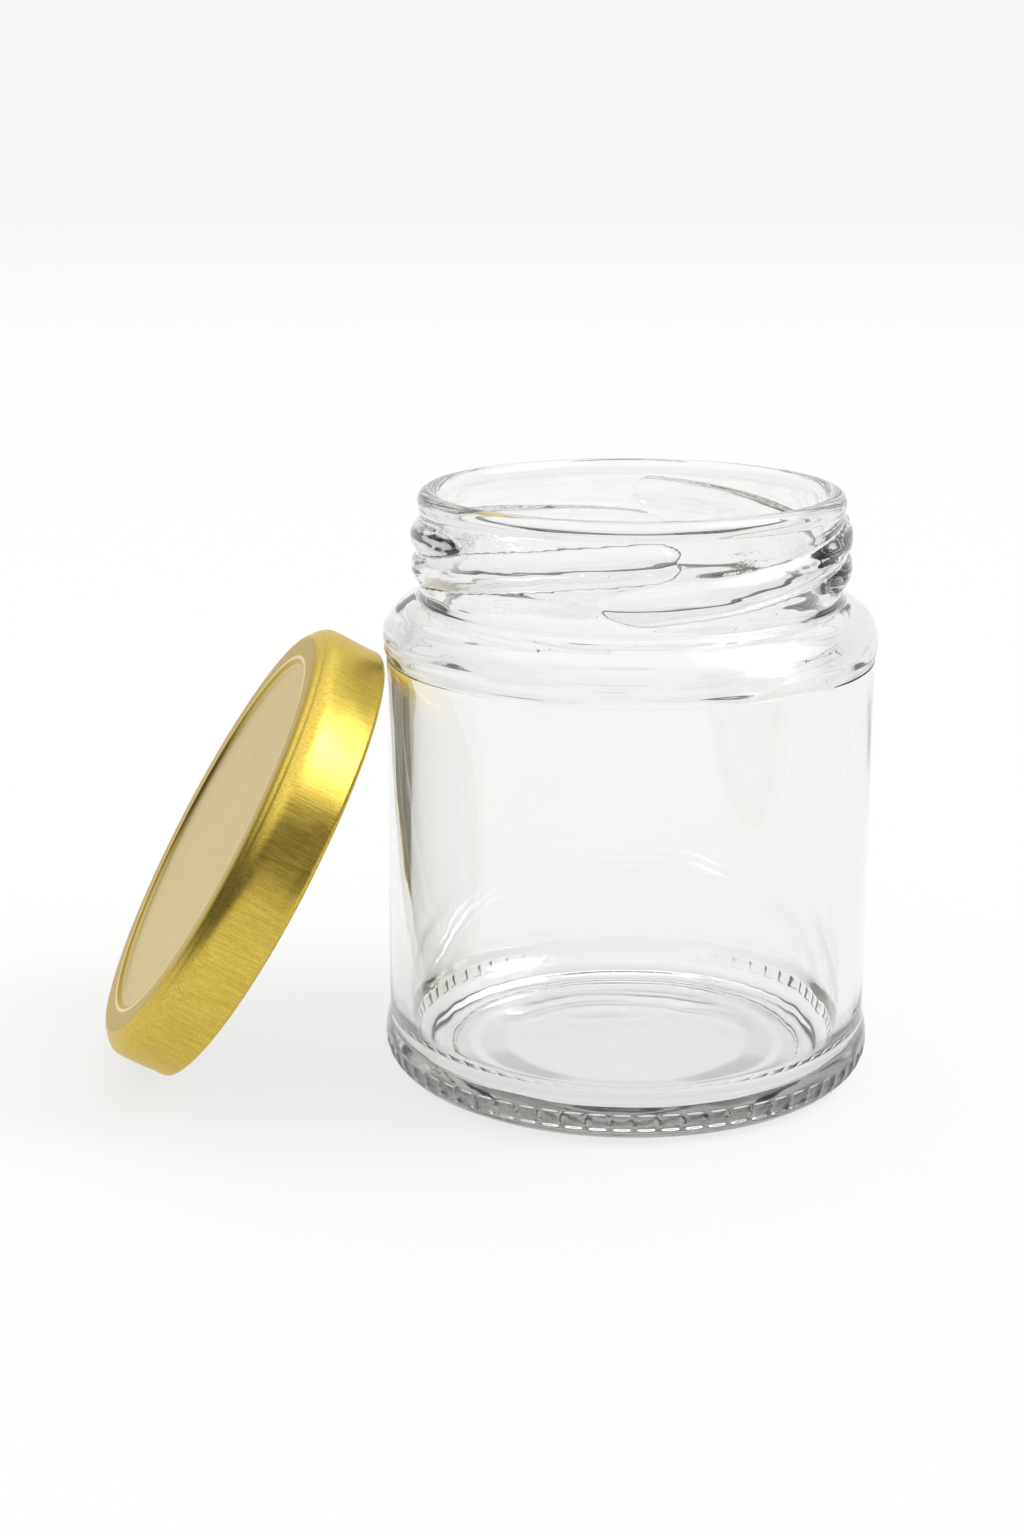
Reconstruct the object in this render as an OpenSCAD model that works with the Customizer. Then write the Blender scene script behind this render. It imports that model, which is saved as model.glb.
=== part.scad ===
// Straight-sided glass food jar with a four-start twist-off finish, and its lug cap.
// The cap leans against the left side of the jar. Millimetres, +Z up, the table is z = 0,
// and the origin is the centre of the jar's bearing ring.

/* [Jar] */
// Diameter of the straight body
body_d = 73; // [70:0.5:76]
// Height over all
jar_h = 89; // [86:0.5:95]
// Thickness of the body wall
wall = 3; // [2.5:0.1:3.5]
// Thickness of the floor of the jar at its edge
floor_t = 3.4; // [3:0.1:4.5]
// Diameter over the widest point of the heel
heel_d = 74.4; // [74:0.1:75]
// Diameter over the shoulder bead
shoulder_d = 73.9; // [73.5:0.1:74.5]

/* [Finish] */
// Outside diameter of the neck
neck_d = 62.9; // [62.5:0.1:63.2]
// Diameter of the mouth
mouth_d = 56.8; // [56:0.1:57.5]
// Diameter over the threads
thread_d = 65.3; // [65:0.1:65.6]
// Number of thread starts
starts = 4; // [4:1:4]
// Depth of a thread's upper end below the rim
thread_depth = 5.8; // [5.5:0.1:6.2]
// How far a thread drops from its upper end to its lower end
thread_drop = 6; // [5:0.1:6.5]
// Angle that one thread covers
thread_span = 110; // [90:1:120]

/* [Cap] */
// Diameter over the curl
cap_d = 72.4; // [72:0.1:73]
// Height of the cap
cap_h = 10.6; // [10:0.1:11]
// Thickness of the sheet
sheet = 0.3; // [0.25:0.05:0.4]
// Diameter of the sunk panel
panel_d = 60.4; // [59:0.1:61]
// Depth of the sunk panel
panel_drop = 0.7; // [0.4:0.1:0.8]
// Diameter of the circle on which the tips of the lugs lie
lug_tip_d = 63.8; // [63.7:0.1:64.2]
// Angle that one lug covers
lug_span = 14; // [10:1:18]

/* [Pose] */
// How far the panel's face points above the horizontal
lean = 30; // [28:1:32]
// Distance from the jar's axis to the middle of the cap's open edge, along -X
cap_x = 54.3; // [54.2:0.1:58]
// Sideways distance from the jar's axis to the middle of the cap
cap_y = 7.5; // [0:0.5:8]
// Turn of the cap about its own axis
cap_turn = 20; // [0:5:85]

/* [Hidden] */
$fn = 120;

body_r = body_d / 2;
inner_r = body_r - wall;
neck_r = neck_d / 2;
mouth_r = mouth_d / 2;

// Heel: a small round at the bottom and a wide, shallow bulge above it
heel_r = heel_d / 2;
heel_round = 4.6;
heel_bulge = 14;
heel_top = 9.5;
floor_round = 6;

// Shoulder: one round bead outside, one round inside
shoulder_r = shoulder_d / 2;
shoulder_round = 6;
shoulder_z = jar_h - 22.1;
body_top = shoulder_z - 2.7;
inside_round = 5.6;
inside_z = shoulder_z - 2.1;

// Rim: half a round, a little proud of the neck, that meets the mouth's wall at a slight break
rim_round = 1.65;
rim_break = 0.05;
rim_r = mouth_r + rim_round - rim_break;
rim_z = jar_h - rim_round;
neck_top = rim_z - 0.8;

// Knurls: shallow pockets in a row round the heel
knurls = 66;
knurl_span = 4.1;
knurl_depth = 0.25;
knurl_low = 2.4;
knurl_high = 4.9;

// Underside: a flat bearing ring round a domed punt
bearing_in = 27.6;
punt_r = 27;
punt_h = 0.8;
dome_r = 22;
dome_h = 0.6;

// Threads: round beads on circles that are tilted, so that each one runs down clockwise
bead_r = 2.5;
bead_end_r = 2.45;
thread_r = thread_d / 2 - bead_r;
thread_rise = thread_drop / 2 / sin(thread_span / 2);
thread_tilt = asin(thread_rise / thread_r);
thread_z = jar_h - thread_depth - thread_drop / 2;
thread_top_at = 7;

// Cap: curl, skirt, shoulder, ring and sunk panel
cap_r = cap_d / 2;
curl_r = 0.8;
skirt_r = cap_r - 0.1;
cap_round = 2.9;
panel_r = panel_d / 2;
panel_slope = 0.6;
lug_tip_r = lug_tip_d / 2;
lug_low = 0.25;
lug_t = 0.75;
lug_root = 35;
seal_in = 28.2;
seal_out = 33.4;
seal_low = cap_h - 1.55;

// Height of the middle of the open edge when the curl stands on the table
cap_z = (cap_r - curl_r) * cos(lean) + curl_r * (1 - sin(lean));

module at(r, z) { translate([r, z]) children(); }

// Half section of the heel, set in from its outer face by inset
module heel(inset) {
    square([heel_r - heel_round, heel_top]);
    at(heel_r - heel_round, heel_round) circle(heel_round - inset);
    intersection() {
        at(heel_r - heel_bulge, heel_round) circle(heel_bulge - inset);
        at(heel_r - heel_round, heel_round) square([heel_round + 1, heel_top - heel_round]);
    }
}

// Half section of the jar's outside, without the threads
module jar_outside() {
    heel(0);
    at(0, heel_top - 1) square([body_r, body_top - heel_top + 1]);
    at(shoulder_r - shoulder_round, shoulder_z) circle(shoulder_round);
    at(0, shoulder_z) square([shoulder_r - shoulder_round, shoulder_round]);
    square([neck_r, neck_top]);
    square([rim_r, rim_z]);
    at(rim_r, rim_z) circle(rim_round);
}

// Half section of the space inside the jar
module jar_inside() {
    at(0, floor_t + floor_round) square([inner_r, inside_z - floor_t - floor_round]);
    at(0, floor_t) square([inner_r - floor_round, floor_round]);
    at(inner_r - floor_round, floor_t + floor_round) circle(floor_round);
    at(inner_r - inside_round, inside_z) circle(inside_round);
    at(0, inside_z) square([inner_r - inside_round, inside_round]);
    at(0, inside_z) square([mouth_r, jar_h]);
}

// Half section of the hollow under the jar
module punt() {
    at(0, -1) square([punt_r, 1 + punt_h]);
    at(0, -1) square([bearing_in, 1.25]);
    dome = (dome_r * dome_r + dome_h * dome_h) / 2 / dome_h;
    intersection() {
        at(0, punt_h + dome_h - dome) circle(dome);
        square([dome_r, punt_h + dome_h]);
    }
}

module knurl() {
    rotate([0, 0, -knurl_span / 2]) rotate_extrude(angle = knurl_span) difference() {
        at(heel_r - heel_round, knurl_low) square([heel_round + 1, knurl_high - knurl_low]);
        heel(knurl_depth);
    }
}

module thread() {
    translate([0, 0, thread_z]) rotate([thread_tilt, 0, 0]) {
        rotate([0, 0, -thread_span / 2]) rotate_extrude(angle = thread_span)
            at(thread_r, 0) circle(bead_r);
        for (end = [-1, 1])
            rotate([0, 0, end * thread_span / 2]) translate([thread_r, 0, 0]) sphere(bead_end_r);
    }
}

module jar_glass() {
    color([0.82, 0.88, 0.86, 0.5]) difference() {
        union() {
            rotate_extrude() intersection() {
                jar_outside();
                square([heel_r + 1, jar_h + 1]);
            }
            for (i = [0 : starts - 1])
                rotate([0, 0, thread_top_at - thread_span / 2 + i * 360 / starts]) thread();
        }
        rotate_extrude() intersection() {
            jar_inside();
            square([heel_r, 2 * jar_h]);
        }
        rotate_extrude() punt();
        for (i = [0 : knurls - 1])
            rotate([0, 0, (i + 0.5) * 360 / knurls]) knurl();
    }
}

// Half section of the cap's form, set in from its outer face by inset
module cap_form(inset) {
    slope_in = panel_r + inset * 0.8;
    difference() {
        union() {
            at(0, -1) square([skirt_r - inset, cap_h - cap_round + 1]);
            at(0, -1) square([skirt_r - cap_round, cap_h - inset + 1]);
            at(skirt_r - cap_round, cap_h - cap_round) circle(cap_round - inset);
        }
        polygon([[-1, cap_h + 1], [-1, cap_h - panel_drop - inset], [slope_in, cap_h - panel_drop - inset],
            [slope_in + panel_slope, cap_h - inset], [slope_in + panel_slope, cap_h + 1]]);
    }
}

// Rolled edge, open at the top where the sheet ends
module curl() {
    difference() {
        at(cap_r - curl_r, curl_r) circle(curl_r);
        at(cap_r - curl_r, curl_r) circle(curl_r - sheet);
        at(cap_r - 1.5 * curl_r, 1.4 * curl_r) square([0.35, curl_r]);
    }
}

module lug() {
    rotate([0, 0, -lug_span / 2]) rotate_extrude(angle = lug_span) {
        at(lug_tip_r + lug_t / 2, lug_low) square([lug_root - lug_tip_r - lug_t / 2, lug_t]);
        at(lug_tip_r + lug_t / 2, lug_low + lug_t / 2) circle(lug_t / 2);
    }
}

// Puts a cap that is modelled open side down, about +Z, where it leans
module leaning() {
    translate([-cap_x, cap_y, cap_z]) rotate([0, lean - 90, 0]) rotate([0, 0, cap_turn]) children();
}

module lid_shell() {
    color([0.83, 0.68, 0.22]) leaning() {
        rotate_extrude() {
            intersection() {
                difference() {
                    cap_form(0);
                    cap_form(sheet);
                }
                at(0, curl_r) square([cap_r, cap_h]);
            }
            curl();
        }
        for (i = [0 : starts - 1]) rotate([0, 0, i * 360 / starts]) lug();
    }
}

module lid_seal() {
    color([0.90, 0.87, 0.78]) leaning() rotate_extrude() intersection() {
        cap_form(sheet);
        at(seal_in, seal_low) square([seal_out - seal_in, 2]);
    }
}

jar_glass();
lid_shell();
lid_seal();
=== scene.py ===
"""Looks for a glass food jar and the gold lug cap that leans against it.

Lengths are in metres in Blender; the profiles below are in millimetres, as in the CAD source.
"""
import math

import bmesh
import bpy
from mathutils import Matrix, Vector, noise


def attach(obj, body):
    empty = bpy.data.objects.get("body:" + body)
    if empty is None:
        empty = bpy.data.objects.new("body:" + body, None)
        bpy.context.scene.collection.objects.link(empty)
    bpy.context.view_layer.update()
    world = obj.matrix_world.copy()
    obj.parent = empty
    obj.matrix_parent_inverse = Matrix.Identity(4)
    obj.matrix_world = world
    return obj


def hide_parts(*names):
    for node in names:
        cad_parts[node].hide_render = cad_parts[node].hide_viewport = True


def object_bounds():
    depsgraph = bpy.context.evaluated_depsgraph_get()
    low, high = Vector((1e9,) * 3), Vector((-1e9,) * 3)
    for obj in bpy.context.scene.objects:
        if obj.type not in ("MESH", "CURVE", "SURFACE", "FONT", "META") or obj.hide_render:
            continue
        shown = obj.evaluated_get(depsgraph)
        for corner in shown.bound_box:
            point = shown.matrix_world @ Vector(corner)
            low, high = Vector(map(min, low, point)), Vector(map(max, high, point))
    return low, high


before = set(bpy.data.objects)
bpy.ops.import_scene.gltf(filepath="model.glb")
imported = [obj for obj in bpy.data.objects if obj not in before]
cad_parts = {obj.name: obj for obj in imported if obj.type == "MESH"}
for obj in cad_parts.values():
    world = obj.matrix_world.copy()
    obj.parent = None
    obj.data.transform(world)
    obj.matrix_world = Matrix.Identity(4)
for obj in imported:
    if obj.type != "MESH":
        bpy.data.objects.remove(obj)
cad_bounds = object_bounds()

MM = 0.001
TAU = 2 * math.pi

# ---------------------------------------------------------------- jar, millimetres
BODY_R, INNER_R, NECK_R, MOUTH_R = 36.5, 33.5, 31.45, 28.4
JAR_H = 89.0
HEEL_R, HEEL_ROUND, HEEL_BULGE, HEEL_TOP = 37.2, 4.6, 14.0, 9.5
SHOULDER_R, SHOULDER_ROUND, SHOULDER_Z = 36.95, 6.0, 66.9
BODY_TOP = 64.2
INSIDE_ROUND, INSIDE_Z = 5.6, 64.8
FLOOR_Z, FLOOR_ROUND = 3.4, 6.0
RIM_ROUND, RIM_BREAK = 1.65, 0.05
RIM_R, RIM_Z = MOUTH_R + RIM_ROUND - RIM_BREAK, JAR_H - RIM_ROUND
BEARING_IN, PUNT_R = 27.6, 27.0
PUNT_H, DOME_R, DOME_H = 0.8, 22.0, 0.6
KNURLS, KNURL_SPAN, KNURL_DEPTH, KNURL_LOW, KNURL_HIGH = 66, 4.1, 0.25, 2.4, 4.9
BEAD_R, THREAD_R = 2.5, 30.15
# Each thread: azimuth in degrees and height of its upper end, the same for its lower end, and how blunt
# the upper end is
THREADS = (
    (267.7, 83.2, 165, 77.3, 0.65),
    (200.7, 82.9, 77, 78.6, 0.32),
    (75.7, 83.7, -28, 77.6, 0.65),
    (2.7, 83.2, -99, 77.3, 0.32),
)
LOWER_BLUNT = 0.3
THREAD_ZONE = (74.5, 87.0)
THREAD_FILLET = 1.9
# The ripples round the neck and shoulder, and the ones on the inside wall and the floor
RIPPLE_ZONE = (63.5, 88.0)
NECK_RIPPLE, SHOULDER_RIPPLE, INSIDE_RIPPLE = 0.08, 0.12, 0.22
WALL_SWELL, WALL_SWELL_SIZE = 0.16, 17
FLOOR_SWELL, FLOOR_SWELL_SIZE = 0.14, 9
# Distance between rows of the mesh: on the threads, on the shoulder, and elsewhere
THREAD_ROW, SHOULDER_ROW, PLAIN_ROW = 0.30, 0.55, 4.0
# Degrees of the mesh's edges from the middle of a knurl: crowded where its pocket ends
KNURL_STEPS = (-180 / KNURLS, -2.3, -1.7, -0.6, 0.6, 1.7, 2.3)

# ---------------------------------------------------------------- cap, millimetres
CAP_R, CAP_H, CURL_R, SHEET = 36.2, 10.6, 0.8, 0.3
SKIRT_R = 36.1
LEAN, CAP_X, CAP_Y, CAP_TURN = 30.0, 54.3, 7.5, 20.0
CAP_Z = (CAP_R - CURL_R) * math.cos(math.radians(LEAN)) + CURL_R * (1 - math.sin(math.radians(LEAN)))
LUGS, LUG_TIP_R, LUG_SPAN = 4, 31.9, 14.0
LUG_BEND = 0.62
DENT_DEPTH = 0.16
PANEL_DROP = 0.7
CURL_TURN, CURL_POINTS = 235, 25
SEAL_IN, SEAL_OUT, SEAL_LOW = 28.2, 33.4, CAP_H - 1.55
CAP_SEGMENTS = 360


# ---------------------------------------------------------------- numbers
def smooth(edge0, edge1, x):
    """0 below edge0, 1 above edge1, eased between."""
    t = min(max((x - edge0) / (edge1 - edge0), 0.0), 1.0)
    return t * t * (3 - 2 * t)


def soft_max(a, b, k):
    """The larger of a and b, with a fillet about k wide where they cross."""
    h = max(k - abs(a - b), 0.0) / k
    return max(a, b) + h * h * k / 4


def arc(cx, cz, radius, start, end, count):
    """Points on a circle, angles in degrees from the +r direction."""
    turn = [math.radians(start + (end - start) * i / (count - 1)) for i in range(count)]
    return [(cx + radius * math.cos(t), cz + radius * math.sin(t)) for t in turn]


def thinned(points, step, bend):
    """Keeps a point once it is step(point) from the last kept one, or the line has turned by bend degrees."""
    kept, turned = [points[0]], 0.0
    for before, here, after in zip(points, points[1:], points[2:]):
        first = math.atan2(here[1] - before[1], here[0] - before[0])
        second = math.atan2(after[1] - here[1], after[0] - here[0])
        turned += abs(math.remainder(second - first, TAU))
        gap = math.dist(here, kept[-1])
        if gap >= step(here) or (turned >= math.radians(bend) and gap > 0.12):
            kept.append(here)
            turned = 0.0
    return kept + [points[-1]]


# ---------------------------------------------------------------- meshes
def even_turn(count):
    """Angles in radians, evenly round the axis."""
    return [TAU * i / count for i in range(count)]


def knurled_turn():
    """Angles in radians that put an edge on each side of every knurl."""
    middles = [(k + 0.5) * 360 / KNURLS for k in range(KNURLS)]
    return [math.radians(middle + step) for middle in middles for step in KNURL_STEPS]


def lathe(name, profile, angles, shape=None, closed=False, place=Matrix(), lined_from=None):
    """Turns (r, z, ...) points about +Z, then moves the mesh by place.

    A point with r = 0 becomes one pole. shape(point, angle) gives the radius and height at one angle. The
    strips of faces from number lined_from on take the piece's second material.
    """
    verts, rows, faces = [], [], []
    segments = len(angles)
    for point in profile:
        if point[0] == 0:
            rows.append([len(verts)])
            verts.append((0, 0, point[1] * MM))
            continue
        rows.append(range(len(verts), len(verts) + segments))
        for a in angles:
            r, z = shape(point, a) if shape else point[:2]
            verts.append((r * math.cos(a) * MM, r * math.sin(a) * MM, z * MM))
    pairs = list(zip(rows, rows[1:])) + ([(rows[-1], rows[0])] if closed else [])
    for low, high in pairs:
        for i in range(segments):
            j = (i + 1) % segments
            if len(low) == 1:
                faces.append((low[0], high[j], high[i]))
            elif len(high) == 1:
                faces.append((low[i], low[j], high[0]))
            else:
                faces.append((low[i], low[j], high[j], high[i]))
    mesh = bpy.data.meshes.new(name)
    mesh.from_pydata(verts, [], faces)
    if lined_from is not None:
        for face in mesh.polygons:
            face.material_index = int(face.index // segments >= lined_from)
    mesh.transform(place)
    work = bmesh.new()
    work.from_mesh(mesh)
    bmesh.ops.recalc_face_normals(work, faces=work.faces)
    for face in work.faces:
        face.smooth = True
    work.to_mesh(mesh)
    work.free()
    piece = bpy.data.objects.new(name, mesh)
    bpy.context.scene.collection.objects.link(piece)
    return piece


def outside_radius(z):
    """The jar's outer radius at a height, threads left out."""
    r = 0.0
    if z <= HEEL_TOP:
        centre = HEEL_R - HEEL_BULGE
        r = centre + math.sqrt(max(HEEL_BULGE ** 2 - (z - HEEL_ROUND) ** 2, 0))
    if z <= BODY_TOP + 1.2:
        r = soft_max(r, BODY_R - 3 * max(z - BODY_TOP, 0), 0.25)
    up = z - SHOULDER_Z
    if abs(up) < SHOULDER_ROUND:
        bead = SHOULDER_R - SHOULDER_ROUND + math.sqrt(SHOULDER_ROUND ** 2 - up ** 2)
        r = soft_max(r, bead, 0.3 if up < 0 else 2.0)
    if z > SHOULDER_Z:
        r = soft_max(r, NECK_R, 2.4)
    if z > RIM_Z - 2.0:
        lip = RIM_ROUND ** 2 - min(z - RIM_Z, 0) ** 2
        r = soft_max(r, RIM_R + math.sqrt(max(lip, 0)), 0.25)
    return r


def thread_radius(angle, z):
    """How far out the nearest thread reaches at an angle in degrees and a height."""
    best = 0.0
    for top_at, top_z, low_at, low_z, blunt in THREADS:
        half = (top_at - low_at) / 2
        a = math.remainder(angle - low_at - half, 360)
        blunt = blunt if a > 0 else LOWER_BLUNT
        past = max(abs(a) - half + 2 / blunt, 0)
        part = smooth(-1.35, 1.35, min(max(a / half, -1), 1))
        dz = z - low_z - (top_z - low_z) * (0.5 + (part - 0.5) * 1.16)
        left = BEAD_R ** 2 - dz ** 2 - (math.radians(past) * NECK_R * blunt) ** 2
        best = max(best, THREAD_R + math.copysign(math.sqrt(abs(left)), left))
    return best


def row_step(point):
    """How far apart the mesh's rows may be at a point of the outer wall."""
    z = point[1]
    if 74 < z < 86.5:
        return THREAD_ROW
    return SHOULDER_ROW if 64 < z < 75 else PLAIN_ROW


def jar_profile():
    """Half section of the glass, from the middle of the underside round to the middle of the floor."""
    dome = (DOME_R ** 2 + DOME_H ** 2) / 2 / DOME_H
    top = PUNT_H + DOME_H
    under = [(0, top)] + [(r, top - dome + math.sqrt(dome ** 2 - r ** 2)) for r in range(3, 22, 3)]
    under += [(DOME_R, PUNT_H), (24, PUNT_H), (26, PUNT_H - 0.02)]
    under += [(26.6, PUNT_H - 0.08), (PUNT_R, PUNT_H - 0.25), (27.3, 0.25)]
    under += [(BEARING_IN, 0.06), (27.9, 0), (28.1, 0)]
    under += [(28.1 + 0.45 * i, 0) for i in range(1, 10)]
    under += arc(HEEL_R - HEEL_ROUND, HEEL_ROUND, HEEL_ROUND, -90, -40, 8)

    dense, z = [], HEEL_ROUND
    while z < RIM_Z:
        dense.append((outside_radius(z), z))
        z += 0.02
    rows = [p for p in thinned(dense, row_step, 7) if p[1] > KNURL_HIGH + 0.3]
    low = [(HEEL_R - HEEL_ROUND + math.sqrt(HEEL_ROUND ** 2 - (z - HEEL_ROUND) ** 2), z)
           for z in (1.75, 2.0, 2.2, 2.4, 2.55, 2.7, 3.2, 3.8, 4.3)]
    low += [(outside_radius(z), z) for z in (4.6, 4.75, 4.9, 5.1, 5.2)]
    rim = arc(RIM_R, RIM_Z, RIM_ROUND, 0, 180, 15)

    inside = [(MOUTH_R, 86.6 - 0.93 * i) for i in range(16)]
    edge = INSIDE_Z + math.sqrt(INSIDE_ROUND ** 2 - max(MOUTH_R - (INNER_R - INSIDE_ROUND), 0) ** 2)
    inside += [(MOUTH_R, edge + 1.0), (MOUTH_R + 0.06, edge + 0.5), (MOUTH_R + 0.35, edge + 0.05)]
    inside += arc(INNER_R - INSIDE_ROUND, INSIDE_Z, INSIDE_ROUND, 72, 0, 12)
    inside += [(INNER_R, z) for z in range(62, 13, -4)]
    inside += arc(INNER_R - FLOOR_ROUND, FLOOR_Z + FLOOR_ROUND, FLOOR_ROUND, 0, -90, 13)
    inside += [(r, FLOOR_Z) for r in (25, 22, 19, 16, 13, 10, 7, 4)] + [(0, FLOOR_Z)]
    return [(r, z, "out") for r, z in under + low + rows + rim] + [(r, z, "in") for r, z in inside]


def wave(r, z, a, size):
    """Wide ripples of moulded glass, between about -1 and 1."""
    return noise.noise(Vector((r * math.cos(a) / size, r * math.sin(a) / size, z / size)))


def ring_ripple(z, a):
    """Fine waves that run round the neck and the shoulder, as a mould leaves them."""
    at = Vector((math.cos(a) * 1.6, math.sin(a) * 1.6, z / 1.5))
    return noise.noise(at) + 0.8 * noise.noise(at * 2.1)


def knurl_pocket(degrees, z):
    """1 in the pocket of a knurl, 0 on the ribs and past the row."""
    off = abs(math.remainder(degrees - 180 / KNURLS, 360 / KNURLS))
    pocket = 1 - smooth(KNURL_SPAN / 2 - 0.3, KNURL_SPAN / 2 + 0.2, off)
    row = smooth(KNURL_LOW - 0.2, KNURL_LOW + 0.25, z) * smooth(KNURL_HIGH + 0.2, KNURL_HIGH - 0.25, z)
    return pocket * row


def outside_shape(r, z, a):
    """Adds the knurls, the threads and the ripples round the neck to the outer wall."""
    degrees = math.degrees(a)
    if KNURL_LOW - 0.3 < z < KNURL_HIGH + 0.3 and r > BODY_R - 1:
        r -= KNURL_DEPTH * knurl_pocket(degrees, z)
    elif THREAD_ZONE[0] < z < THREAD_ZONE[1]:
        r = soft_max(r, thread_radius(degrees, z), THREAD_FILLET)
    if RIPPLE_ZONE[0] < z < RIPPLE_ZONE[1]:
        size = NECK_RIPPLE + SHOULDER_RIPPLE * smooth(75, 72, z)
        r += size * ring_ripple(z, a) * smooth(87.5, 82, z) * smooth(RIPPLE_ZONE[0], 66, z)
    return r, z


def inside_shape(r, z, a):
    """Adds the slight ripples of the inside wall and of the floor."""
    if z > 62:
        r += INSIDE_RIPPLE * ring_ripple(z + 40, a) * smooth(61, 65, z) * smooth(87, 78, z)
    if z > 70:
        return r, z
    if r > 30 and z > FLOOR_Z + 1:
        r += WALL_SWELL * wave(r, z * 0.45, a, WALL_SWELL_SIZE) * smooth(70, 60, z)
    elif z < FLOOR_Z + 2:
        z += FLOOR_SWELL * wave(r, 0, a, FLOOR_SWELL_SIZE)
    return r, z


def jar_shape(point, a):
    """Gives one point of the jar's section its radius and height at an angle."""
    r, z, side = point
    return outside_shape(r, z, a) if side == "out" else inside_shape(r, z, a)


def cap_line():
    """Middle of the cap's sheet, from the centre of the panel to the end of the curl.

    Each point is (r, z, past). past goes from 0 at the lowest point of the curl to 1 at its end.
    """
    half = SHEET / 2
    top = CAP_H - half
    low = top - PANEL_DROP
    panel = [(r, low) for r in (0, 8, 16, 22, 26, 27.6, 28.5)]
    step = [(28.9, low + 0.03), (29.15, low + 0.16), (29.35, low + 0.36), (29.55, low + 0.56)]
    step += [(29.85, low + 0.67)]
    crown = [(30.2, top), (31.3, top), (32.6, top), (33.3, top - 0.03), (33.7, top - 0.12), (34.0, top - 0.3)]
    edge = [(34.2, top - 0.5), (34.38, top - 0.68), (34.55, top - 0.8), (34.75, top - 0.9)]
    shoulder = [(34.95, top - 1.04), (35.1, top - 1.22), (35.4, top - 1.5), (35.65, top - 1.86)]
    skirt = [(35.82, top - 2.25), (35.91, top - 2.7)]
    skirt += [(SKIRT_R - half, z) for z in (7.0, 6.0, 5.0, 4.0, 3.2, 2.5, 1.9)]
    line = [(r, z, 0.0) for r, z in panel + step + crown + edge + shoulder + skirt]
    curl = arc(CAP_R - CURL_R, CURL_R, CURL_R - half, 0, -CURL_TURN, CURL_POINTS)
    for i, (r, z) in enumerate(curl):
        turned_by = CURL_TURN * i / (CURL_POINTS - 1)
        line.append((r, z, max(turned_by - 90, 0) / (CURL_TURN - 90)))
    return line


def cap_profile():
    """Both faces of the sheet, as one open line that starts and ends on the axis."""
    line = cap_line()
    half = SHEET / 2
    outer, inner = [], []
    for i, (r, z, past) in enumerate(line):
        if r == 0:
            outer.append((0, z + half, past))
            inner.append((0, z - half, past))
            continue
        ahead, behind = line[min(i + 1, len(line) - 1)], line[i - 1]
        dr, dz = ahead[0] - behind[0], ahead[1] - behind[1]
        length = math.hypot(dr, dz)
        outer.append((r - dz / length * half, z + dr / length * half, past))
        inner.append((r + dz / length * half, z - dr / length * half, past))
    end = line[-1]
    return outer + [(end[0] - 0.04, end[1] + 0.08, end[2])] + inner[::-1]


def cap_shape(point, a):
    """Presses the four lugs in from the curl, with a shallow dent in the skirt above each one."""
    r, z, past = point
    off = abs(math.remainder(math.degrees(a), 360 / LUGS))
    lug = 1 - smooth(LUG_SPAN / 2 - 2.6, LUG_SPAN / 2 + 0.6, off)
    if lug > 0 and past > 0:
        share = smooth(0, LUG_BEND, past) if past < LUG_BEND else 1 - 1.1 * (past - LUG_BEND)
        r -= lug * share * (CAP_R - 2 * CURL_R - LUG_TIP_R)
        z -= lug * max(z - 0.35, 0) * 0.42
    if z < 4 and past < 0.05:
        r -= DENT_DEPTH * (1 - smooth(2, 11, off)) * (1 - smooth(1.2, 4, z))
    return r, z


def seal_profile():
    """Half section of the sealing compound in the channel under the cap's ring."""
    under = CAP_H - SHEET + 0.05
    low = SEAL_LOW
    line = [(SEAL_IN, CAP_H - 1.05), (SEAL_IN + 0.12, low + 0.28)]
    line += [(SEAL_IN + 0.45, low + 0.1), (SEAL_IN + 0.9, low + 0.02)]
    line += [(r / 10, low - 0.02) for r in range(296, 325, 5)]
    line += [(SEAL_OUT - 0.7, low + 0.04), (SEAL_OUT - 0.3, low + 0.16), (SEAL_OUT - 0.06, low + 0.42)]
    line += [(SEAL_OUT, low + 0.8), (SEAL_OUT - 0.15, under - 0.1), (32.6, under), (31.3, under)]
    line += [(30.6, under - 0.25), (30.1, under - 0.7), (29.4, CAP_H - 1.0), (28.7, CAP_H - 0.97)]
    return line


# ---------------------------------------------------------------- materials: colours, and azimuths in degrees
GLASS_TINT, GLASS_DENSITY = (0.69, 0.702, 0.682), 40.0
MATT_ROUGHNESS = 0.22
# Painted shade: the grey of the underside's rings, and the azimuths of its two crescents
RING_PAINTED_SHADE = (0.42, 0.43, 0.42)
PEBBLE_PATCHES, SHADE_CRESCENTS = (219, 300), (213, 307)
SKIRT_DARK, SKIRT_LIGHT = (0.53, 0.385, 0.055), (0.71, 0.53, 0.095)
# Painted reflection: the panel's pale colours stand in for the white backdrop mirrored in it
PANEL_SHEEN_DARK, PANEL_SHEEN_LIGHT = (0.715, 0.61, 0.36), (0.785, 0.675, 0.41)
# Painted shade in the collar's darker gold, and a painted highlight in the lip's pale line
COLLAR_PAINTED_SHADE, LIP_HIGHLIGHT = (0.44, 0.315, 0.030), (0.86, 0.78, 0.54)
VARNISH_TINT = (0.98, 0.88, 0.58)
LINING_DARK, LINING_LIGHT = (0.425, 0.40, 0.305), (0.450, 0.425, 0.325)
SEAL_DARK, SEAL_LIGHT = (0.80, 0.76, 0.66), (0.87, 0.84, 0.75)


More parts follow.
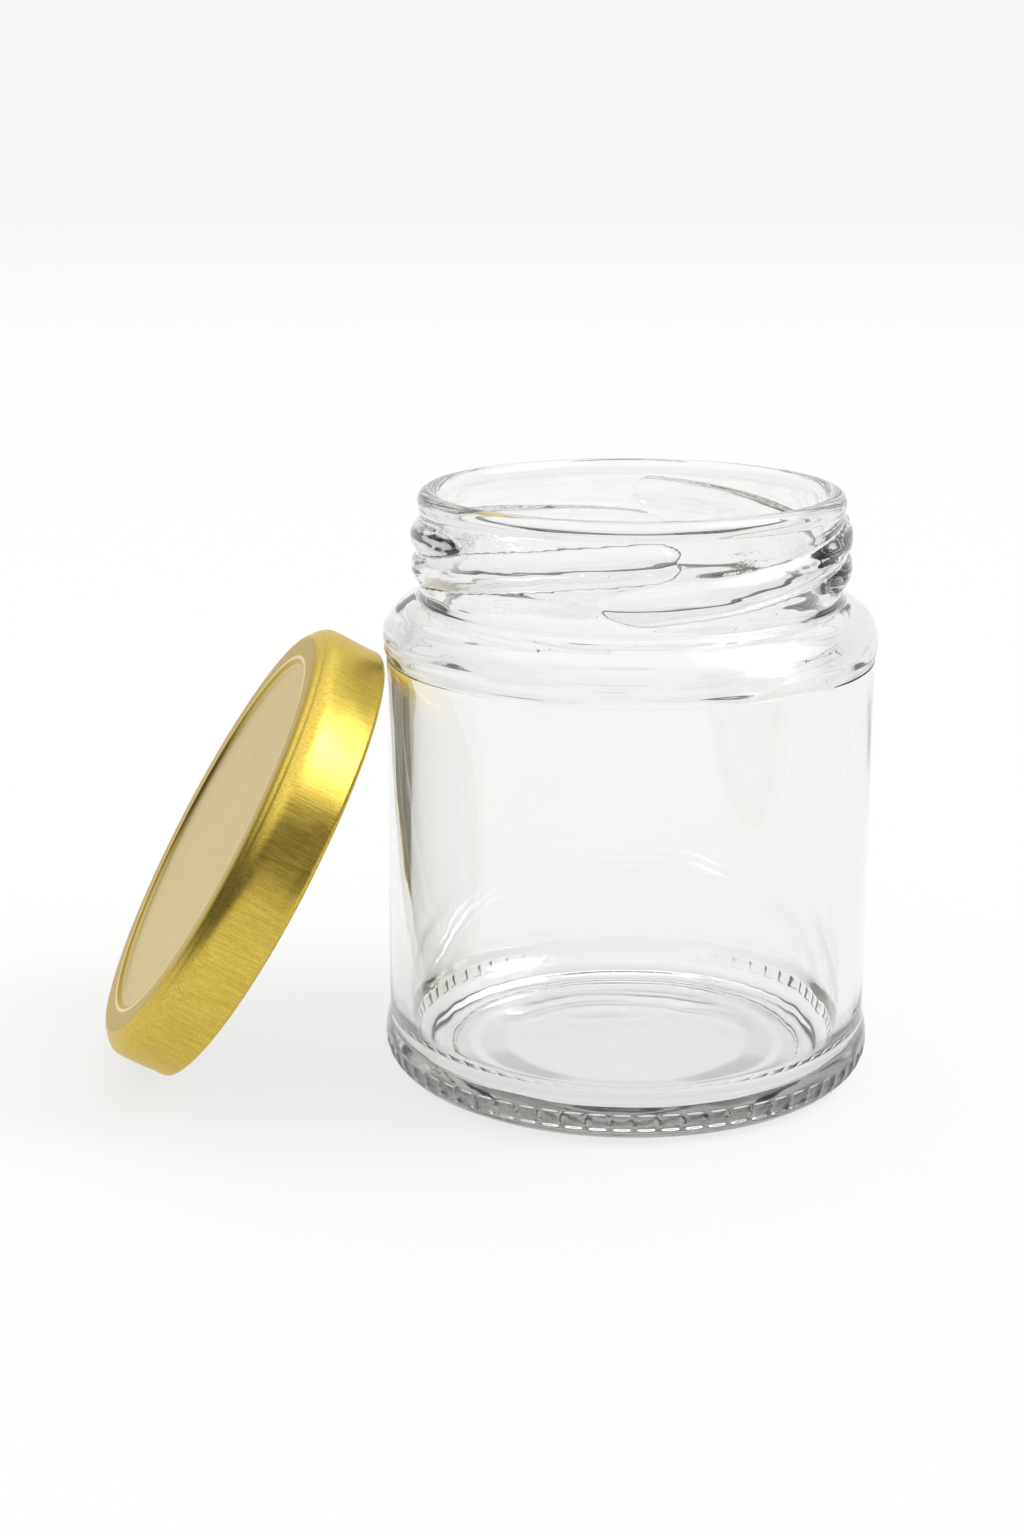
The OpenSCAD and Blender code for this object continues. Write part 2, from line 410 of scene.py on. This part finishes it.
# ---------------------------------------------------------------- node helpers
class Nodes:
    """Short forms for building one node tree."""

    def __init__(self, tree):
        self.tree = tree
        tree.nodes.clear()

    def add(self, kind, **settings):
        node = self.tree.nodes.new(kind)
        for key, value in settings.items():
            setattr(node, key, value)
        return node

    def wire(self, source, target):
        self.tree.links.new(source, target)

    def put(self, socket, value):
        if isinstance(value, bpy.types.NodeSocket):
            self.wire(value, socket)
        else:
            socket.default_value = value

    def math(self, operation, a, b=0.0):
        node = self.add("ShaderNodeMath", operation=operation)
        self.put(node.inputs[0], a)
        self.put(node.inputs[1], b)
        return node.outputs[0]

    def vector(self, operation, a, b=(0, 0, 0)):
        node = self.add("ShaderNodeVectorMath", operation=operation)
        self.put(node.inputs[0], a)
        self.put(node.inputs[1], b)
        return node.outputs["Value" if operation in ("DOT_PRODUCT", "LENGTH") else "Vector"]

    def split(self, vector):
        """The x, y and z of a vector."""
        node = self.add("ShaderNodeSeparateXYZ")
        self.wire(vector, node.inputs[0])
        return node.outputs

    def band(self, value, low, high, to_low=0.0, to_high=1.0):
        node = self.add("ShaderNodeMapRange", interpolation_type="SMOOTHSTEP")
        self.put(node.inputs["Value"], value)
        for key, number in (("From Min", low), ("From Max", high), ("To Min", to_low), ("To Max", to_high)):
            node.inputs[key].default_value = number
        return node.outputs[0]

    def times(self, first, *others):
        """The product of two or more values."""
        for other in others:
            first = self.math("MULTIPLY", first, other)
        return first

    def between(self, value, low, low_full, high_full, high):
        """1 from low_full to high_full, fading to 0 at low and at high."""
        return self.times(self.band(value, low, low_full), self.band(value, high, high_full))

    def noise(self, vector, scale, detail=3.0, roughness=0.5):
        node = self.add("ShaderNodeTexNoise")
        self.wire(vector, node.inputs["Vector"])
        for key, number in (("Scale", scale), ("Detail", detail), ("Roughness", roughness)):
            node.inputs[key].default_value = number
        return node.outputs["Fac"]

    def mix(self, factor, a, b):
        node = self.add("ShaderNodeMix", data_type="RGBA")
        self.put(node.inputs["Factor"], factor)
        for socket, value in ((node.inputs[6], a), (node.inputs[7], b)):
            self.put(socket, value if isinstance(value, bpy.types.NodeSocket) else (*value, 1))
        return node.outputs[2]

    def bump(self, height, distance, strength, normal=None):
        node = self.add("ShaderNodeBump")
        self.wire(height, node.inputs["Height"])
        node.inputs["Distance"].default_value = distance
        node.inputs["Strength"].default_value = strength
        if normal is not None:
            self.wire(normal, node.inputs["Normal"])
        return node.outputs[0]


def material(name, place=Matrix()):
    """A new material, its Nodes, its Principled shader, and coordinates from before place was applied."""
    made = bpy.data.materials.new(name)
    made.use_nodes = True
    n = Nodes(made.node_tree)
    shader = n.add("ShaderNodeBsdfPrincipled")
    n.output = n.add("ShaderNodeOutputMaterial")
    n.wire(shader.outputs[0], n.output.inputs["Surface"])
    back = place.inverted()
    mapping = n.add("ShaderNodeMapping")
    mapping.inputs["Location"].default_value = back.to_translation()
    mapping.inputs["Rotation"].default_value = back.to_euler()
    n.wire(n.add("ShaderNodeTexCoord").outputs["Object"], mapping.inputs["Vector"])
    return made, n, shader, mapping.outputs["Vector"]


def two_sides(n, outward, azimuths, low, high):
    """1 round each of two azimuths in degrees, fading to 0; low and high are the cosines where it does."""
    ways = [(math.cos(math.radians(t)), math.sin(math.radians(t)), 0) for t in azimuths]
    return n.math("MAXIMUM", *[n.band(n.vector("DOT_PRODUCT", outward, way), low, high) for way in ways])


def matt_cells(n, x, y, z, radius):
    """1 on the floors of the knurls, which the mould leaves matt, and 0 on the ribs between them."""
    turn = n.times(n.math("ARCTAN2", y, x), KNURLS / TAU)
    rib = n.math("ABSOLUTE", n.math("SUBTRACT", n.math("FRACT", n.math("ADD", turn, KNURLS)), 0.5))
    row = n.between(z, 0.0023, 0.0028, 0.0045, 0.0050)
    return n.times(n.band(rib, 0.40, 0.34), row, n.band(radius, 0.0354, 0.0358))


def painted_shade_rings(n, z, radius, outward):
    """1 on two rings of the underside, where the glass is thick and looks grey from above; the grey is
    painted shade.
    """
    outer = n.between(radius, 0.0238, 0.0250, 0.0262, 0.0274)
    inner = n.between(radius, 0.0180, 0.0196, 0.0222, 0.0232)
    # The painted shade is stronger in two crescents
    uneven = n.math("ADD", n.times(two_sides(n, outward, SHADE_CRESCENTS, 0.88, 0.98), 0.65), 0.35)
    return n.times(n.math("MAXIMUM", outer, inner), n.band(z, 0.0022, 0.0018), uneven)


def neck_pebble(n, place, z, outward):
    """A fine pebble in two patches of the neck above the threads."""
    patches = two_sides(n, outward, PEBBLE_PATCHES, 0.965, 0.992)
    patches = n.times(patches, n.band(n.noise(place, 260, 2, 0.5), 0.40, 0.60))
    neck = n.between(z, 0.0805, 0.0825, 0.0850, 0.0868)
    return n.times(n.noise(place, 2600, 2, 0.6), neck, patches)


def glass_material():
    """Clear glass with the marks of its mould, and painted shade on two rings of its underside."""
    made, n, shader, place = material("clear_glass")
    shader.inputs["IOR"].default_value = 1.52
    shader.inputs["Transmission Weight"].default_value = 1.0
    absorb = n.add("ShaderNodeVolumeAbsorption")
    absorb.inputs["Color"].default_value = (*GLASS_TINT, 1)
    absorb.inputs["Density"].default_value = GLASS_DENSITY
    n.wire(absorb.outputs[0], n.output.inputs["Volume"])
    x, y, z = n.split(place)
    flat = n.vector("MULTIPLY", place, (1, 1, 0))
    outward = n.vector("NORMALIZE", flat)
    radius = n.vector("LENGTH", flat)
    # Long faint waves in the walls, and the pebble over them
    long_wave = n.noise(n.vector("MULTIPLY", place, (1.0, 1.0, 0.35)), 60, 2, 0.4)
    normal = n.bump(long_wave, 0.0004, 0.35)
    pebble = neck_pebble(n, place, z, outward)
    n.wire(n.bump(pebble, 0.00005, 0.8, normal), shader.inputs["Normal"])
    # Painted shade: grey base colour on the underside's rings, which are also made a little matt
    ring = painted_shade_rings(n, z, radius, outward)
    matt = n.math("MAXIMUM", matt_cells(n, x, y, z, radius), n.times(ring, 0.8))
    n.wire(n.times(matt, MATT_ROUGHNESS), shader.inputs["Roughness"])
    n.wire(n.mix(ring, (1, 1, 1), RING_PAINTED_SHADE), shader.inputs["Base Color"])
    return made


def gold_material():
    """Gold lacquer over fine brushed tinplate, with a paler panel that is a painted reflection, a darker
    collar that is painted shade and a pale lip line that is a painted highlight.
    """
    made, n, shader, place = material("gold_tinplate", leaning)
    z = n.split(place)[2]
    radius = n.vector("LENGTH", n.vector("MULTIPLY", place, (1, 1, 0)))
    # The panel's outer face lies above this height and its inner face below it
    outer_face = n.band(z, 0.00970, 0.00980)
    panel = n.times(n.band(radius, 0.0293, 0.0289), outer_face)
    # Painted highlight: a thin pale line on the crest round the panel
    lip = n.times(n.between(radius, 0.0297, 0.0299, 0.0302, 0.0304), outer_face)
    # Painted shade: the collar ring between the panel and the crown is drawn in darker gold than the skirt
    collar_painted_shade = n.times(n.band(radius, 0.0336, 0.0333), n.band(z, 0.0095, 0.0098))
    grain_panel = n.noise(n.vector("MULTIPLY", place, (0.05, 1.0, 1.0)), 2600, 3, 0.6)
    grain_skirt = n.noise(n.vector("MULTIPLY", place, (1.0, 1.0, 0.05)), 3600, 3, 0.65)
    speckle = n.noise(place, 3500, 2, 0.6)
    brushed = n.math("ADD", n.times(grain_skirt, 0.65), n.times(speckle, 0.35))
    skirt = n.mix(n.band(brushed, 0.38, 0.62), SKIRT_DARK, SKIRT_LIGHT)
    skirt = n.mix(collar_painted_shade, skirt, COLLAR_PAINTED_SHADE)
    # Painted reflection: the panel's pale cream, grained in two tones
    pale = n.mix(n.band(grain_panel, 0.3, 0.7), PANEL_SHEEN_DARK, PANEL_SHEEN_LIGHT)
    n.wire(n.mix(lip, n.mix(panel, skirt, pale), LIP_HIGHLIGHT), shader.inputs["Base Color"])
    rough = n.math("ADD", n.times(grain_skirt, 0.12), 0.25)
    n.wire(n.math("ADD", rough, n.times(panel, 0.13)), shader.inputs["Roughness"])
    shader.inputs["Metallic"].default_value = 1.0
    shader.inputs["Specular Tint"].default_value = (*VARNISH_TINT, 1)
    shader.inputs["Coat Weight"].default_value = 0.22
    shader.inputs["Coat Roughness"].default_value = 0.26
    first = n.bump(grain_skirt, 0.00003, 0.5)
    second = n.bump(n.times(grain_panel, panel), 0.00002, 0.4, first)
    n.wire(n.bump(speckle, 0.00001, 0.25, second), shader.inputs["Normal"])
    return made


def lining_material():
    """Satin lacquer inside the cap, greyer than the gold outside."""
    made, n, shader, place = material("cap_lining", leaning)
    cloud = n.band(n.noise(place, 140, 3, 0.55), 0.3, 0.7)
    n.wire(n.mix(cloud, LINING_DARK, LINING_LIGHT), shader.inputs["Base Color"])
    shader.inputs["Metallic"].default_value = 0.5
    grain = n.noise(n.vector("MULTIPLY", place, (0.05, 1.0, 1.0)), 2600, 3, 0.6)
    n.wire(n.math("ADD", n.times(grain, 0.12), 0.36), shader.inputs["Roughness"])
    n.wire(n.bump(grain, 0.00002, 0.4), shader.inputs["Normal"])
    return made


def seal_material():
    """Matt pale compound, a little translucent and slightly uneven."""
    made, n, shader, place = material("sealing_compound", leaning)
    spots = n.band(n.noise(place, 900, 3, 0.6), 0.3, 0.75)
    n.wire(n.mix(spots, SEAL_DARK, SEAL_LIGHT), shader.inputs["Base Color"])
    shader.inputs["Roughness"].default_value = 0.48
    shader.inputs["Subsurface Weight"].default_value = 0.08
    shader.inputs["Subsurface Scale"].default_value = 0.001
    n.wire(n.bump(n.noise(place, 400, 2, 0.5), 0.00008, 0.4), shader.inputs["Normal"])
    return made


# ---------------------------------------------------------------- the pieces
turned = Matrix.Rotation(math.radians(LEAN - 90), 4, "Y") @ Matrix.Rotation(math.radians(CAP_TURN), 4, "Z")
leaning = Matrix.Translation(Vector((-CAP_X, CAP_Y, CAP_Z)) * MM) @ turned

jar = lathe("jar_glass_clear", jar_profile(), knurled_turn(), jar_shape)
jar.data.materials.append(glass_material())
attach(jar, "jar")
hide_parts("jar_glass")

round_cap = even_turn(CAP_SEGMENTS)
inside_face = len(cap_line())
shell = lathe("lid_shell_gold", cap_profile(), round_cap, cap_shape, place=leaning, lined_from=inside_face)
shell.data.materials.append(gold_material())
shell.data.materials.append(lining_material())
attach(shell, "lid")
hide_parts("lid_shell")

seal = lathe("lid_seal_compound", seal_profile(), round_cap, closed=True, place=leaning)
seal.data.materials.append(seal_material())
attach(seal, "lid")
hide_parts("lid_seal")


# ---------------------------------------------------------------- studio
YAW, PITCH = math.radians(7.8), math.radians(15.17)
LOOK = (math.sin(YAW), math.cos(YAW), 0.0)
RIGHT = (math.cos(YAW), -math.sin(YAW), 0.0)
SOFTBOX = (0.693, -0.158, 0.703)
FLOOR_R, FLOOR_GAP, FLOOR_GREY = 20, 0.00005, 0.17
FLOOR_GLOW, FLOOR_GLOW_LOSS = 0.741, 0.07
BACKDROP = 0.93
ROOM, CEILING = 0.17, 1.5
BOX_WIDE, BOX_NARROW = 2.2, 8.0


def floor():
    """A wide pale floor at the level that the jar stands on."""
    mesh = bpy.data.meshes.new("floor")
    work = bmesh.new()
    bmesh.ops.create_circle(work, cap_ends=True, radius=FLOOR_R, segments=96)
    work.to_mesh(mesh)
    work.free()
    made = bpy.data.objects.new("floor", mesh)
    made.location.z = cad_bounds[0].z - FLOOR_GAP
    bpy.context.scene.collection.objects.link(made)
    paint, n, shader, place = material("floor_paint")
    shader.inputs["Base Color"].default_value = (FLOOR_GREY, FLOOR_GREY, FLOOR_GREY, 1)
    shader.inputs["Roughness"].default_value = 1.0
    shader.inputs["Specular IOR Level"].default_value = 0.0
    glow = n.band(n.vector("LENGTH", place), 0.2, 3.0, FLOOR_GLOW, FLOOR_GLOW - FLOOR_GLOW_LOSS)
    n.wire(glow, shader.inputs["Emission Strength"])
    shader.inputs["Emission Color"].default_value = (1, 1, 0.992, 1)
    made.data.materials.append(paint)


def sky():
    """Soft light: a bright backdrop and ceiling, a dimmer room behind the camera and to the sides."""
    world = bpy.data.worlds.new("studio")
    bpy.context.scene.world = world
    world.use_nodes = True
    n = Nodes(world.node_tree)
    way = n.add("ShaderNodeTexCoord").outputs["Generated"]
    room = n.band(n.vector("DOT_PRODUCT", way, LOOK), 0.05, 0.75, ROOM, BACKDROP)
    room = n.times(room, n.band(n.vector("DOT_PRODUCT", way, RIGHT), -0.95, -0.2, 0.6, 1.0))
    ceiling = n.band(n.split(way)[2], 0.45, 0.85)
    light = n.math("ADD", n.times(room, n.math("SUBTRACT", 1.0, ceiling)), n.times(ceiling, CEILING))
    toward = n.vector("DOT_PRODUCT", way, SOFTBOX)
    wide = n.band(toward, 0.86, 0.97, 0.0, BOX_WIDE)
    box = n.math("ADD", wide, n.band(toward, 0.955, 0.999, 0.0, BOX_NARROW))
    lighting = n.add("ShaderNodeBackground")
    n.wire(n.math("ADD", light, box), lighting.inputs["Strength"])
    lighting.inputs["Color"].default_value = (1, 1, 1, 1)
    # The camera itself sees a plain backdrop
    plain = n.add("ShaderNodeBackground")
    plain.inputs["Color"].default_value = (BACKDROP, BACKDROP, BACKDROP, 1)
    both = n.add("ShaderNodeMixShader")
    n.wire(n.add("ShaderNodeLightPath").outputs["Is Camera Ray"], both.inputs[0])
    n.wire(lighting.outputs[0], both.inputs[1])
    n.wire(plain.outputs[0], both.inputs[2])
    output = n.add("ShaderNodeOutputWorld")
    n.wire(both.outputs[0], output.inputs["Surface"])


floor()
sky()

lens = bpy.data.cameras.new("camera")
lens.sensor_width = 36.0
lens.lens = 59.4
camera = bpy.data.objects.new("camera", lens)
camera.location = Vector((-67.94, -365.94, 146.89)) * MM
camera.rotation_euler = (math.pi / 2 - PITCH, 0, -YAW)
bpy.context.scene.collection.objects.link(camera)
bpy.context.scene.camera = camera

scene = bpy.context.scene
scene.view_settings.view_transform = "Standard"
scene.view_settings.look = "None"
scene.cycles.max_bounces = 32
scene.cycles.transmission_bounces = 32
scene.cycles.glossy_bounces = 12
